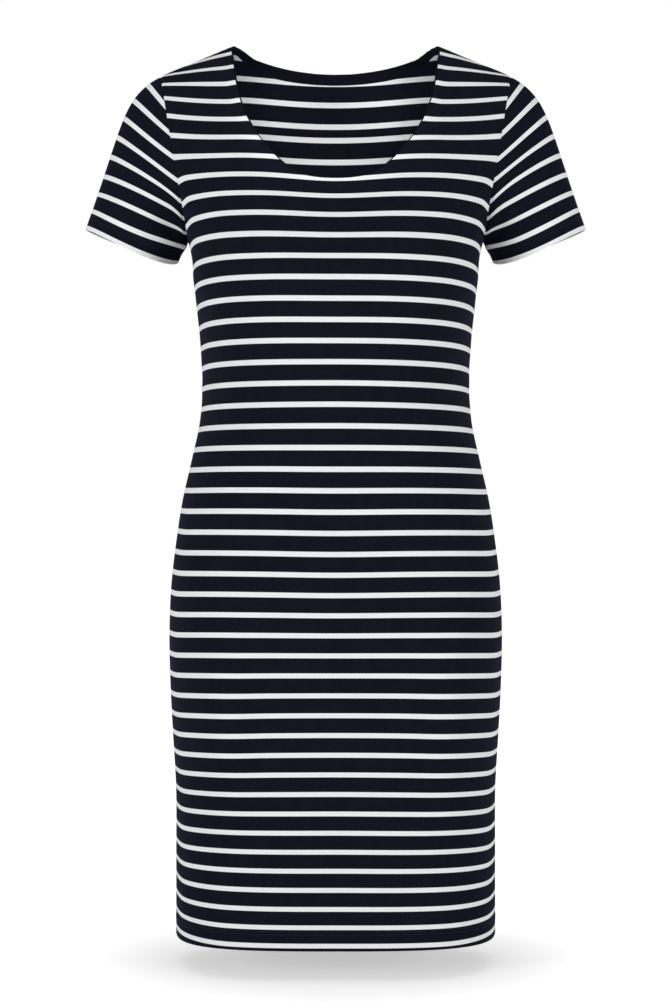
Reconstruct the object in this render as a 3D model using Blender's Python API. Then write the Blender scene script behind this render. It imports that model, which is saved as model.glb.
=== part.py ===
"""Striped jersey bodycon dress with a scoop neck and short set-in sleeves, filled out as if worn.

Metres, +Z up, the front faces -Y and the wearer's left is +X. The origin lies midway between
the two points where the shoulder seams meet the neckline. The body is a stack of rings: "turn"
goes round a ring from the centre front or back (0) to the side (a right angle), and "side" is
-1 on the front and 1 on the back.
"""

import math
from collections import namedtuple

import bmesh
import bpy
import numpy as np

FRONT, BACK = -1, 1
SIDE_TURN = math.pi / 2

WALL = 0.0012  # jersey, as a wall that can be handled
GAP = 0.0003  # between pieces at a seam
HEM = 0.020  # the turned-up hem, two layers thick
HEM_STEP = 0.001  # the height over which the second layer of a hem ends

HEM_Z = -0.912
CHEST_Z = -0.245  # the ring at which the panels begin to fan out from the neckline
UNDERARM_X, UNDERARM_Z = 0.150, -0.2066
SHOULDER_X, SHOULDER_Z = 0.180, -0.031  # where the shoulder seam meets the sleeve
ARMHOLE_LEAN = 1.1  # how the armhole leans out towards the shoulder, 1 is straight

NECK_HALF_WIDTH = 0.1045
NECK_CENTRE_Z = -0.010  # the centre of the ellipse that the front neckline follows
NECK_DEPTH = 0.138  # from that centre down to the front of the neck
NECK_TURN = math.acos(NECK_CENTRE_Z / NECK_DEPTH)  # of the ellipse, from centre front to shoulder
NECK_X = NECK_HALF_WIDTH * math.sin(NECK_TURN)  # where the shoulder seam meets the neckline
BACK_NECK_Z = -0.0155

BAND_WIDTH = 0.011  # neck binding, turned inside
BAND_LIP = 0.0012  # what shows of it past the neck edge
FACING_Z = -0.076  # straight lower edge of the back-neck facing
FACING_REACH = 0.45  # how far it reaches along the shoulder, of the way to the armhole
FRONT_STEP = 0.4  # the same share on the front, where it only spaces the rows

# Rings from the hem up. Above the underarm a ring is that of the whole shoulder, which the
# armholes then cut. half_width is across, front and back are depths from the side seam, and
# the last two say how square the ring is: 2 is an ellipse.
RING_COLUMNS = ("z", "half_width", "front", "back", "front_round", "back_round")
RINGS = (
    (-0.9120, 0.1648, 0.112, 0.102, 3.0, 2.5),
    (-0.8300, 0.1648, 0.112, 0.103, 3.0, 2.5),
    (-0.7550, 0.1650, 0.112, 0.106, 3.1, 2.5),
    (-0.7100, 0.1675, 0.112, 0.110, 3.2, 2.5),
    (-0.6600, 0.1702, 0.112, 0.117, 3.2, 2.5),
    (-0.6000, 0.1715, 0.112, 0.124, 3.2, 2.5),
    (-0.5500, 0.1694, 0.112, 0.123, 3.1, 2.5),
    (-0.5100, 0.1650, 0.112, 0.116, 2.9, 2.4),
    (-0.4670, 0.1586, 0.114, 0.104, 2.6, 2.3),
    (-0.4250, 0.1494, 0.117, 0.090, 2.3, 2.2),
    (-0.3850, 0.1411, 0.119, 0.079, 2.1, 2.1),
    (-0.3430, 0.1390, 0.122, 0.076, 2.1, 2.1),
    (-0.3020, 0.1406, 0.132, 0.084, 2.3, 2.2),
    (-0.2700, 0.1435, 0.139, 0.091, 2.5, 2.3),
    (-0.2400, 0.1460, 0.140, 0.096, 2.6, 2.4),
    (-0.2066, 0.1500, 0.133, 0.100, 2.7, 2.4),
    (-0.1906, 0.1545, 0.127, 0.101, 2.65, 2.4),
    (-0.1685, 0.1630, 0.118, 0.103, 2.6, 2.4),
    (-0.1450, 0.1745, 0.106, 0.104, 2.6, 2.4),
    (-0.1120, 0.1890, 0.091, 0.102, 2.4, 2.4),
    (-0.0775, 0.2015, 0.070, 0.097, 2.2, 2.2),
    (-0.0516, 0.2030, 0.054, 0.091, 2.0, 2.0),
    (-0.0310, 0.1800, 0.042, 0.084, 2.0, 2.0),
    (-0.0155, 0.1421, 0.029, 0.075, 2.0, 2.0),
    (0.0000, NECK_X, 0.016, 0.058, 2.0, 2.0),
)

# Soft forms on both halves of the front: how far they bring the cloth forward, where, and how
# far they spread.
Form = namedtuple("Form", "forward x z spread_x spread_z")
THROAT = Form(forward=-0.005, x=0.0, z=-0.150, spread_x=0.045, spread_z=0.040)
THIGHS = Form(forward=0.018, x=0.115, z=-0.690, spread_x=0.035, spread_z=0.085)

# Sleeves, for the wearer's left; the right one mirrors it.
CUFF_OUTER = np.array((0.2575, 0.0, -0.1885))
CUFF_INNER = np.array((0.1627, 0.0, -0.2252))
CUFF_HALF_DEPTH = 0.047
CUFF_DROOP = 0.007  # how far the front of the cuff hangs below its sides
SHOULDER_FULLNESS = 0.8  # how far a sleeve keeps the way in which it leaves the seam
CUFF_FALL = 2.0  # how far it keeps the way in which it reaches the cuff
SEAM_GAP = 1.2 * GAP  # across the bend of the armhole seam, where a gap looks narrower
RIDGE = 0.2  # a sleeve that leaves the body flatter than this (a cosine) meets it on a ridge

# Facets across half of a panel, first those below the neckline and then those below the
# armhole; from the chest ring up to the armhole; up half of an armhole, first those over its
# bottom and then those up to the shoulder; along the body and along a sleeve.
CHEST_FACETS, UNDERARM_FACETS, UNDERARM_ROWS, ARMHOLE_FACETS = 8, 3, 2, 9
LENGTH_FACETS, SLEEVE_FACETS = 19, 6

TINY = 1e-4  # a small step, for slopes and for how near an edge counts as on it
CURVE_STEPS = 400  # along an armhole, to measure its length
CREASE = math.radians(50)  # a fold sharper than this is shaded as an edge

DRESS = "bodycon_dress"
NAVY = (0.0065, 0.0075, 0.022, 1.0)
NAVY_BINDING = (0.004, 0.005, 0.014, 1.0)
JERSEY_ROUGHNESS = 0.85


def ring_value(z, name):
    """A column of RINGS at any height, along a smooth curve through its rows."""
    table = np.array(RINGS)
    heights, values = table[:, 0], table[:, RING_COLUMNS.index(name)]
    slopes = np.gradient(values, heights)
    row = np.clip(np.searchsorted(heights, z, side="right") - 1, 0, len(heights) - 2)
    step = heights[row + 1] - heights[row]
    t = (z - heights[row]) / step
    start = (1 + 2 * t) * (1 - t) ** 2 * values[row] + t * (1 - t) ** 2 * step * slopes[row]
    end = t * t * (3 - 2 * t) * values[row + 1] - t * t * (1 - t) * step * slopes[row + 1]
    return start + end


def front_forms(x, z):
    """How far the soft forms bring the front forward at a point."""
    forward = 0.0
    for form in (THROAT, THIGHS):
        across = ((abs(x) - form.x) / form.spread_x) ** 2
        up = ((z - form.z) / form.spread_z) ** 2
        forward = forward + form.forward * np.exp(-across - up)
    return forward


def body_point(turn, z, side):
    """Points of the outer face of the body."""
    half_width = ring_value(z, "half_width")
    depth = ring_value(z, "front" if side == FRONT else "back")
    power = ring_value(z, "front_round" if side == FRONT else "back_round")
    across, along = np.sin(turn), np.clip(np.cos(turn), 0, 1)
    reach = (np.abs(across) ** power + along**power) ** (-1 / power)
    x = half_width * reach * across
    y = depth * reach * along
    if side == FRONT:
        y = y + front_forms(x, z) * np.sqrt(along)
    return np.stack(np.broadcast_arrays(x, side * (y + GAP / 2), z), axis=-1)


def body_normal(turn, z, side):
    """The outward direction there. The front and back have the same one along their seams."""
    z = np.minimum(z, -TINY)
    inner = np.clip(turn, TINY - SIDE_TURN, SIDE_TURN - TINY)
    round_it = body_point(inner + TINY, z, side) - body_point(inner - TINY, z, side)
    up_it = body_point(inner, z + TINY, side) - body_point(inner, z - TINY, side)
    normal = np.cross(up_it, round_it) * side
    normal[..., 1] *= np.abs(turn) < SIDE_TURN - TINY
    return normal / np.linalg.norm(normal, axis=-1, keepdims=True)


def turn_at(x, z, side):
    """The turn at which the ring at height z is x across."""
    power = ring_value(z, "front_round" if side == FRONT else "back_round")
    share = np.minimum(x / ring_value(z, "half_width"), 1)
    return np.arctan2(share, (1 - share**power) ** (1 / power))


def neck_edge(share, side):
    """(turn, z) along half of the neckline, from the centre (0) to the shoulder seam (1)."""
    if side == FRONT:
        x = NECK_HALF_WIDTH * np.sin(share * NECK_TURN)
        z = NECK_CENTRE_Z - NECK_DEPTH * np.cos(share * NECK_TURN)
    else:
        x = NECK_X * np.sin(share * SIDE_TURN)
        z = BACK_NECK_Z * np.cos(share * SIDE_TURN) ** 2
    return np.where(share > 1 - TINY, SIDE_TURN, turn_at(x, z, side)), z


def armhole_edge(share, side):
    """(turn, z) along half of an armhole, from the underarm (0) to the shoulder (1)."""
    rise = np.linspace(0, 1, CURVE_STEPS) ** 2
    heights = UNDERARM_Z + (SHOULDER_Z - UNDERARM_Z) * rise
    x = UNDERARM_X + (SHOULDER_X - UNDERARM_X) * rise**ARMHOLE_LEAN
    turns = turn_at(x, heights, side)
    turns[[0, -1]] = SIDE_TURN
    steps = np.linalg.norm(np.diff(body_point(turns, heights, side), axis=0), axis=1)
    length = np.concatenate([[0], np.cumsum(steps)])
    z = np.interp(share * length[-1], length, heights)
    return np.interp(z, heights, turns), z


def chest_ring():
    """The turns of the facets across half of a panel."""
    return np.linspace(0, SIDE_TURN, CHEST_FACETS + UNDERARM_FACETS + 1)


def underarm_rows(side):
    """(turn, z) of the points between the chest ring and the bottom of the armhole."""
    share = np.arange(UNDERARM_FACETS, -1, -1) / ARMHOLE_FACETS
    bottom = np.stack(np.broadcast_arrays(chest_ring()[CHEST_FACETS:], CHEST_Z))
    top = np.stack(armhole_edge(share, side))
    return bottom + (top - bottom) * np.linspace(0, 1, UNDERARM_ROWS + 1)[:, None, None]


def upper_columns(side):
    """The (turn, z) ends of the lines that fan out from the neckline: its own, then their outer
    ends, along the chest ring, up to the armhole and up the armhole to the shoulder."""
    ring = np.stack(np.broadcast_arrays(chest_ring()[:CHEST_FACETS], CHEST_Z))
    share = np.arange(UNDERARM_FACETS + 1, ARMHOLE_FACETS + 1) / ARMHOLE_FACETS
    armhole = np.stack(armhole_edge(share, side))
    outer = np.concatenate([ring, underarm_rows(side)[:, :, 0].T, armhole], axis=1)
    inner = np.stack(neck_edge(np.linspace(0, 1, outer.shape[1]), side))
    return inner, outer


def upper_rows(side):
    """(turn, z) of the points of the fan, as rows out from the neckline. Rows 0 to 2 lie under
    the neck binding and rows 2 to 4, on the back, under the facing."""
    inner, outer = upper_columns(side)
    start, end = body_point(*inner, side), body_point(*outer, side)
    bound = BAND_WIDTH / np.linalg.norm(end - start, axis=1)
    faced = np.minimum((FACING_Z - start[:, 2]) / (end - start)[:, 2], FACING_REACH)
    if side == FRONT:
        faced = bound + (1 - bound) * FRONT_STEP
    shares = [0 * bound, bound / 2, bound, (bound + faced) / 2, faced]
    shares += [faced + (1 - faced) * step for step in (1 / 3, 2 / 3, 1)]
    points = start + (end - start) * np.array(shares)[..., None]
    turn = turn_at(points[..., 0], points[..., 2], side)
    turn[0], turn[-1], turn[:, -1] = inner[0], outer[0], SIDE_TURN
    return np.stack([turn, points[..., 2]], axis=1)


def mirrored(half):
    """A whole row of (turn, z) points from its half, whose first point is at the centre."""
    other = half[..., :0:-1] * np.array((-1, 1))[:, None]
    return np.concatenate([other, half], axis=-1)


def lower_rows():
    """(turn, z) of the points from the hem to the chest ring."""
    heights = np.linspace(HEM_Z + HEM + HEM_STEP, CHEST_Z, LENGTH_FACETS)
    heights = np.concatenate([[HEM_Z, HEM_Z + HEM], heights])
    return mirrored(np.stack(np.broadcast_arrays(chest_ring(), heights[:, None]), axis=1))


def wall(name, grids, material, closed=False):
    """One closed wall of cloth. Each grid is (outer points, inner points), and grids that share
    an edge are joined along it. A closed grid's last column joins its first."""
    places, outers, inners, faces, sides = {}, [], [], [], {}
    for outer, inner in grids:
        rows, columns = outer.shape[:2]
        at = np.zeros((rows, columns), int)
        for r in range(rows):
            for c in range(columns):
                place = tuple(np.round(outer[r, c], 6))
                if place not in places:
                    places[place] = len(outers)
                    outers.append(outer[r, c])
                    inners.append(inner[r, c])
                at[r, c] = places[place]
        if closed:
            at = np.concatenate([at, at[:, :1]], axis=1)
        for r in range(rows - 1):
            for c in range(at.shape[1] - 1):
                on_left = outer[r, c, 0] > -TINY
                faces += facets(at[r : r + 2, c : c + 2].tolist(), on_left)
    skin = list(faces)
    count = len(outers)
    for face in skin:
        faces.append([v + count for v in reversed(face)])
        for start, end in zip(face, face[1:] + face[:1]):
            sides[start, end] = (end, start, start + count, end + count)
    faces += [rim for (start, end), rim in sides.items() if (end, start) not in sides]
    data = bpy.data.meshes.new(name)
    data.from_pydata(outers + inners, [], faces)
    outward_faces(data)
    data.shade_smooth()
    data.set_sharp_from_angle(angle=CREASE)
    data.materials.append(material)
    piece = bpy.data.objects.new(name, data)
    bpy.data.collections[DRESS].objects.link(piece)
    return piece


def facets(corners, on_left):
    """Two triangles on four corners. The cut runs the other way on the wearer's right, so that
    it mirrors the left, and layers with the same corners stay parallel."""
    (a, b), (d, c) = corners
    return [[a, b, c], [a, c, d]] if on_left else [[a, b, d], [b, c, d]]


def outward_faces(data):
    mesh = bmesh.new()
    mesh.from_mesh(data)
    bmesh.ops.recalc_face_normals(mesh, faces=mesh.faces)
    mesh.to_mesh(data)
    mesh.free()


def cloth_material(name, colour):
    material = bpy.data.materials.new(name)
    material.use_nodes = True
    shader = material.node_tree.nodes["Principled BSDF"]
    shader.inputs["Base Color"].default_value = colour
    shader.inputs["Roughness"].default_value = JERSEY_ROUGHNESS
    shader.inputs["Metallic"].default_value = 0.0
    return material


def skins(rows, side, start, thickness):
    """The outer and inner points of a wall that begins start inside the body's outer face."""
    turn, z = rows[:, 0], rows[:, 1]
    points, normals = body_point(turn, z, side), body_normal(turn, z, side)
    return points - normals * start, points - normals * (start + thickness)


def make_panel(name, side):
    """The front or the back, from the hem up. Its rows all run up the body, so that the grids
    face the same way."""
    lower, upper, right = lower_rows(), mirrored(upper_rows(side))[::-1], underarm_rows(side)
    left = right[..., ::-1] * np.array((-1, 1))[:, None]
    hem = np.where(lower[:, 1] < HEM_Z + HEM + HEM_STEP / 2, 2 * WALL, WALL)[..., None]
    grids = [skins(lower, side, 0, hem)] + [skins(rows, side, 0, WALL) for rows in (left, right, upper)]
    return wall(name, grids, cloth_material(name, NAVY))


def make_facing():
    """The back-neck facing, on the inside of the back below the binding."""
    rows = mirrored(upper_rows(BACK))[4:1:-1]
    outer, inner = skins(rows, BACK, WALL + GAP, WALL)
    along = outer[-2] - outer[-1]
    along *= GAP / np.linalg.norm(along, axis=-1, keepdims=True)
    outer[-1] += along
    inner[-1] += along
    return wall("back_neck_facing", [(outer, inner)], cloth_material("back_neck_facing", NAVY))


def make_neckband():
    """The binding: a ring inside the neck edge, with a lip that stands past the edge."""
    halves = []
    for side in (FRONT, BACK):
        rows = mirrored(upper_rows(side))[2::-1]
        outer, inner = skins(rows, side, WALL + GAP, WALL)
        past = outer[-1] - outer[-2]
        past *= BAND_LIP / np.linalg.norm(past, axis=-1, keepdims=True)
        lips = [(skin[-1] + past)[None] for skin in (outer, inner)]
        halves.append([np.concatenate([skin, lip]) for skin, lip in zip((outer, inner), lips)])
    ring = [np.concatenate([front, back[:, -2:0:-1]], axis=1) for front, back in zip(*halves)]
    return wall("neckband", [tuple(ring)], cloth_material("neckband", NAVY_BINDING), closed=True)


def armhole_loop():
    """Points and outward directions round an armhole: up the front from the underarm, then down
    the back, with the share of the way from underarm to shoulder."""
    share = np.linspace(0, 1, ARMHOLE_FACETS + 1)
    loops = []
    for side in (FRONT, BACK):
        edge = armhole_edge(share, side)
        loops.append((body_point(*edge, side), body_normal(*edge, side)))
    (front, front_out), (back, back_out) = loops
    points = np.concatenate([front, back[-2:0:-1]])
    outward = np.concatenate([front_out, back_out[-2:0:-1]])
    return points, outward, np.concatenate([share, share[-2:0:-1]])


def cuff_loop(share, front):
    """Points round the cuff for the same shares of the way round."""
    angle = math.pi * share
    side = np.where(front, -1.0, 1.0)
    centre, half = (CUFF_OUTER + CUFF_INNER) / 2, (CUFF_OUTER - CUFF_INNER) / 2
    points = centre - half * np.cos(angle)[:, None]
    points[:, 1] += side * CUFF_HALF_DEPTH * np.sin(angle)
    droop = np.where(front, CUFF_DROOP * np.sin(angle) ** 2, 0)
    return points + droop[:, None] * sleeve_axis()


def sleeve_axis():
    """The way the arm points: square to the cuff."""
    across = (CUFF_OUTER - CUFF_INNER) / np.linalg.norm(CUFF_OUTER - CUFF_INNER)
    return np.array((-across[2], 0.0, across[0])) * -1


def sleeve_skins(lengthwise, thickness):
    """Outer and inner points of a left sleeve, a row for each step from armhole to cuff."""
    start, outward, share = armhole_loop()
    end = cuff_loop(share, np.arange(len(share)) <= ARMHOLE_FACETS)
    onward = np.cross(np.roll(start, -1, axis=0) - np.roll(start, 1, axis=0), outward)
    onward /= np.linalg.norm(onward, axis=1, keepdims=True)
    blend = (share**2 * (3 - 2 * share))[:, None]
    leave = sleeve_axis() * (1 - blend) + onward * blend
    leave /= np.linalg.norm(leave, axis=1, keepdims=True)
    off = leave + outward
    start = start + off * (SEAM_GAP / np.linalg.norm(off, axis=1, keepdims=True))
    long = np.linalg.norm(end - start, axis=1, keepdims=True)
    t = lengthwise[:, None, None]
    outer = (1 + 2 * t) * (1 - t) ** 2 * start + t * (1 - t) ** 2 * long * SHOULDER_FULLNESS * leave
    outer = outer + t * t * (3 - 2 * t) * end - t * t * (1 - t) * long * CUFF_FALL * sleeve_axis()
    normals = grid_normals(outer)
    ridge = np.sum(leave * outward, axis=1) < RIDGE
    normals[0, ridge] = outward[ridge]
    return outer, outer - normals * thickness


def grid_normals(points):
    """Outward directions of a tube of points whose columns run round it."""
    along = np.gradient(points, axis=0)
    round_it = np.roll(points, -1, axis=1) - np.roll(points, 1, axis=1)
    normals = np.cross(along, round_it)
    return normals / np.linalg.norm(normals, axis=-1, keepdims=True)


def make_sleeve(name, mirror):
    """A sleeve: a tube from the armhole to the cuff, whose turned-up hem is two layers."""
    long = np.linalg.norm(CUFF_OUTER - np.array((SHOULDER_X, 0, SHOULDER_Z)))
    hem = 1 - HEM / long
    lengthwise = np.append(np.linspace(0, hem - HEM_STEP / long, SLEEVE_FACETS + 1), (hem, 1.0))
    thickness = np.where(lengthwise >= hem, 2 * WALL, WALL)[:, None, None]
    outer, inner = sleeve_skins(lengthwise, thickness)
    flip = np.array((-1 if mirror else 1, 1, 1))
    return wall(name, [(outer * flip, inner * flip)], cloth_material(name, NAVY), closed=True)


def clear_scene():
    for piece in list(bpy.data.objects):
        bpy.data.objects.remove(piece)


def main():
    clear_scene()
    dress = bpy.data.collections.new(DRESS)
    bpy.context.scene.collection.children.link(dress)
    make_panel("front", FRONT)
    make_panel("back", BACK)
    make_sleeve("sleeve_left", mirror=False)
    make_sleeve("sleeve_right", mirror=True)
    make_neckband()
    make_facing()


main()
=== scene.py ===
"""Looks of the striped bodycon dress: fine jersey shells on the solids' form, seams, hems,
stitches, stripes and knit, with a plain studio.

Metres, +Z up, the front faces -Y, the wearer's left is +X. "turn" goes round the body from the
centre front or back (0) to the side (a right angle), and "side" is -1 on the front, 1 on the back.
A place on the body is given by its turn and its height z.
"""

import math
from collections import namedtuple

import bmesh
import bpy
import numpy as np
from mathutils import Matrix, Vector
from mathutils.kdtree import KDTree


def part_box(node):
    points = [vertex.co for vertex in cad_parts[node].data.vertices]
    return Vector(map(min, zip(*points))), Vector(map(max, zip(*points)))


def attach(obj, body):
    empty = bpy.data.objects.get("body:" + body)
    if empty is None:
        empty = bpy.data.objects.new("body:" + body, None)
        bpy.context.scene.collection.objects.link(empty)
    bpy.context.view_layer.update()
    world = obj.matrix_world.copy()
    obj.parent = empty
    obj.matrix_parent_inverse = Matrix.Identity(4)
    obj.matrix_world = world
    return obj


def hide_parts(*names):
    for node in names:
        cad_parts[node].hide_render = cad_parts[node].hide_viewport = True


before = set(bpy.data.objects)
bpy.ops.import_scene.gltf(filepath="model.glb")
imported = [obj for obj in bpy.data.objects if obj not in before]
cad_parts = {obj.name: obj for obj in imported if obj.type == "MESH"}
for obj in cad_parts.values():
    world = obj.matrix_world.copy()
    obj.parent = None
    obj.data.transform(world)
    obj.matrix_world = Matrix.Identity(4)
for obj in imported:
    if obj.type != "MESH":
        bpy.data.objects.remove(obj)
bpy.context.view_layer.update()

FRONT, BACK = -1, 1
SIDE_TURN = math.pi / 2
TINY = 1e-4
CURVE_STEPS = 400
MIRROR = np.array((-1, 1, 1))  # from the wearer's left to the right

# The garment's own sizes, near those of the solids.
CLOTH = 0.0009
GAP = 0.0003
WALL = 0.0012  # of a solid
HEM = 0.020
HEM_STEP = 0.001  # the second layer ends over this length
HEM_MOST = 0.7  # of a sleeve's length, where it is shortest
ROLL, ROLL_SPREAD = 0.0006, 0.0008  # how an edge is rounded
HEM_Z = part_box("front")[0][2]
CHEST_Z = -0.245
UNDERARM_X, UNDERARM_Z = 0.1514, -0.2005
SHOULDER_X, SHOULDER_Z = 0.180, -0.031
ARMHOLE_LEAN = 1.1
NECK_HALF_WIDTH = 0.1045
NECK_CENTRE_Z = -0.010
NECK_DEPTH = 0.138
NECK_TURN = math.acos(NECK_CENTRE_Z / NECK_DEPTH)
NECK_X = NECK_HALF_WIDTH * math.sin(NECK_TURN)
NECK_FULL, NECK_FULL_X, NECK_FULL_SPREAD = 0.0036, 0.040, 0.022  # its low corners
NECK_FLARE, NECK_FLARE_Z, NECK_FLARE_SPREAD = 0.0025, -0.008, 0.010  # its open upper ends
BACK_NECK_Z = -0.0163
BACK_NECK_CURVE = 1.8
# Its small rise beside the shoulder seams, which fades at the seam itself.
BACK_NECK_RISE, BACK_NECK_RISE_X, BACK_NECK_RISE_SPREAD = 0.0022, 0.0985, 0.009
BACK_NECK_RISE_POWER = 40
SIDE_BACK = 0.026  # how far behind the middle the side seams lie
SIDE_BACK_FROM, SIDE_BACK_FULL, SIDE_BACK_POWER = -0.205, -0.300, 6
TOP_LIFT, TOP_LIFT_REACH = 0.0015, 0.020  # the seams' fullness at the top of the shoulders
BAND_WIDTH = 0.0098
BAND_NARROW, BAND_NARROW_X = 0.5, 0.080  # the band narrows from here to the shoulders
BAND_LIP, BACK_BAND_LIP = 0.0019, 0.0008
LIP_ROUND = ((0.5, 0.0), (0.85, 0.15), (1.0, 0.4))  # how far out, and how much thinner by then
FACING_Z = -0.076
FACING_REACH = 0.45

RING_COLUMNS = ("z", "half_width", "front", "back", "front_round", "back_round")
RINGS = (
    (-0.9120, 0.1648, 0.112, 0.102, 3.0, 2.5),
    (-0.8300, 0.1648, 0.112, 0.103, 3.0, 2.5),
    (-0.7550, 0.1650, 0.112, 0.106, 3.1, 2.5),
    (-0.7100, 0.1675, 0.112, 0.110, 3.2, 2.5),
    (-0.6600, 0.1702, 0.112, 0.117, 3.2, 2.5),
    (-0.6000, 0.1715, 0.112, 0.124, 3.2, 2.5),
    (-0.5500, 0.1694, 0.112, 0.123, 3.1, 2.5),
    (-0.5100, 0.1650, 0.112, 0.116, 2.9, 2.4),
    (-0.4670, 0.1586, 0.114, 0.104, 2.6, 2.3),
    (-0.4250, 0.1494, 0.117, 0.090, 2.3, 2.2),
    (-0.3850, 0.1411, 0.119, 0.079, 2.1, 2.1),
    (-0.3430, 0.1390, 0.122, 0.076, 2.1, 2.1),
    (-0.3020, 0.1406, 0.132, 0.084, 2.3, 2.2),
    (-0.2700, 0.1435, 0.139, 0.091, 2.5, 2.3),
    (-0.2400, 0.1460, 0.140, 0.096, 2.6, 2.4),
    (-0.2066, 0.1500, 0.133, 0.100, 2.7, 2.4),
    (-0.1906, 0.1545, 0.127, 0.101, 2.65, 2.4),
    (-0.1685, 0.1630, 0.118, 0.103, 2.6, 2.4),
    (-0.1450, 0.1745, 0.106, 0.104, 2.6, 2.4),
    (-0.1120, 0.1890, 0.091, 0.102, 2.4, 2.4),
    (-0.0775, 0.2015, 0.070, 0.097, 2.2, 2.2),
    (-0.0516, 0.2030, 0.054, 0.091, 2.0, 2.0),
    (-0.0310, 0.1800, 0.042, 0.084, 2.0, 2.0),
    (-0.0155, 0.1421, 0.029, 0.075, 2.0, 2.0),
    (0.0000, NECK_X, 0.016, 0.058, 2.0, 2.0),
)
Form = namedtuple("Form", "forward x z spread_x spread_z")
THROAT = Form(forward=-0.005, x=0.0, z=-0.150, spread_x=0.045, spread_z=0.040)
THIGHS = Form(forward=0.018, x=0.115, z=-0.690, spread_x=0.035, spread_z=0.085)

CUFF_OUTER = np.array((0.2575, 0.0, -0.1885))
CUFF_INNER = np.array((0.1625, 0.0, -0.2230))
CUFF_HALF_DEPTH = 0.047
CUFF_DROOP, CUFF_DROOP_LEAN = 0.0066, 0.8  # deepest nearer the underarm
QUARTER_GIRTH = 0.24
SLEEVE_GIRTH = 0.31
SHOULDER_FULLNESS = 0.8
CUFF_FALL = 2.0
SEAM_GAP = 0.2 * GAP

# Facets: across half a panel under the neckline and under the armhole, up the underarm block,
# up half an armhole, down a line of the fan, and along the body and a sleeve.
CHEST_FACETS, UNDERARM_FACETS, UNDERARM_ROWS, ARMHOLE_FACETS = 44, 14, 12, 50
FAN_FACETS, LENGTH_FACETS, SLEEVE_FACETS = 44, 200, 64
BAND_FACETS, FACING_FACETS = 8, 24  # across their widths
LAST_FACET = 0.005  # about how long a fan's last facet is, at the shoulder seam
SEAM_DISTANCES = (0.0030, 0.0015, 0.0008, 0.0003)  # extra rows this far from a seam
EDGE_DISTANCES = (0, 0.0004, 0.0012, 0.003, 0.006, 0.010, 0.014, 0.017, HEM)  # rows in a hem
ARMHOLE_DISTANCES = (0, 0.0003, 0.0008, 0.0015, 0.003)  # a sleeve's first rows
SLEEVE_FIRST = 0.0045  # its even rows start this far from the armhole

# Stripes: the repeat of the loose cloth, how much of it is white, and which stripe, counted
# down from the front neckline, lies at which height z, on the front at x = LEVEL_X.
REPEAT = 0.0204
WHITE_SHARE = 0.250
CLOTH_RADIUS = 0.155  # turns an angle round the body into metres across the cloth
LEVEL_X = 0.105
SKIRT_STRIPES = (  # z, stripe
    (-0.9120, 38.30),
    (-0.9065, 38.00),
    (-0.8704, 36.00),
    (-0.8328, 34.00),
    (-0.7955, 32.00),
    (-0.6993, 27.00),
    (-0.6002, 22.00),
    (-0.5193, 18.00),
    (-0.4359, 14.00),
    (-0.3307, 9.00),
    (-0.2481, 5.00),
)
FRONT_STRIPES = SKIRT_STRIPES + (
    (-0.2272, 4.00),
    (-0.1828, 2.00),
    (-0.1427, 0.00),
    (-0.1034, -2.00),
    (-0.0644, -4.00),
    (-0.0263, -6.00),
    (-0.0099, -7.00),
    (0.0000, -7.60),
)
BACK_STRIPES = SKIRT_STRIPES + (
    (-0.2066, 3.00),
    (-0.1052, -1.00),
    (-0.0821, -2.00),
    (0.0000, -5.55),
    (0.0500, -7.71),
)
FACING_STRIPES = (
    (-0.0683, 1.00),
    (-0.0459, 0.00),
    (-0.0245, -1.00),
    (-0.0078, -2.00),
    (0.0000, -2.60),
)
# The next four tables each give a height z and how far a stripe is bent there.
SAG = (  # how it hangs at the centre of the front, under the neckline
    (-0.9120, 0.0000),
    (-0.6400, 0.0000),
    (-0.5950, 0.0006),
    (-0.5450, 0.0012),
    (-0.4900, 0.0011),
    (-0.4400, 0.0007),
    (-0.3900, 0.0000),
    (-0.2689, 0.0012),
    (-0.2281, 0.0012),
    (-0.2074, 0.0026),
    (-0.1867, 0.0038),
    (-0.1669, 0.0045),
    (-0.1475, 0.0065),
    (0.0000, 0.0065),
)
SAG_SPREAD = 0.060
RISE = (  # how it rises towards the side seam or armhole, at x = RISE_X
    (-0.9120, 0.0027),
    (-0.8890, 0.0021),
    (-0.8540, 0.0007),
    (-0.8170, -0.0010),
    (-0.7800, -0.0015),
    (-0.7410, -0.0022),
    (-0.7040, -0.0024),
    (-0.6400, -0.0020),
    (-0.5820, -0.0013),
    (-0.5390, -0.0006),
    (-0.4570, -0.0004),
    (-0.4000, -0.0003),
    (-0.3300, -0.0006),
    (-0.2500, -0.0030),
    (-0.2066, -0.0034),
    (-0.1870, -0.0044),
    (-0.1654, -0.0026),
    (-0.1436, -0.0009),
    (-0.1216, 0.0013),
    (-0.1000, 0.0030),
    (-0.0800, 0.0035),
    (-0.0610, 0.0034),
    (-0.0420, 0.0012),
    (-0.0280, -0.0036),
    (-0.0120, -0.0150),
    (0.0000, -0.0200),
)
RISE_X = 0.152
HOOK, HOOK_SPREAD = 0.0030, 0.006  # how it turns down at the armhole seam
HOOK_FROM, HOOK_FADE_IN = -0.30, 0.05  # going up
HOOK_TO, HOOK_FADE_OUT = -0.12, 0.04
CURL, CURL_SPREAD = 0.0016, 0.007  # how it turns up at the neckline, near the shoulders
CURL_FROM, CURL_FADE_IN = -0.10, 0.03
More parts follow.
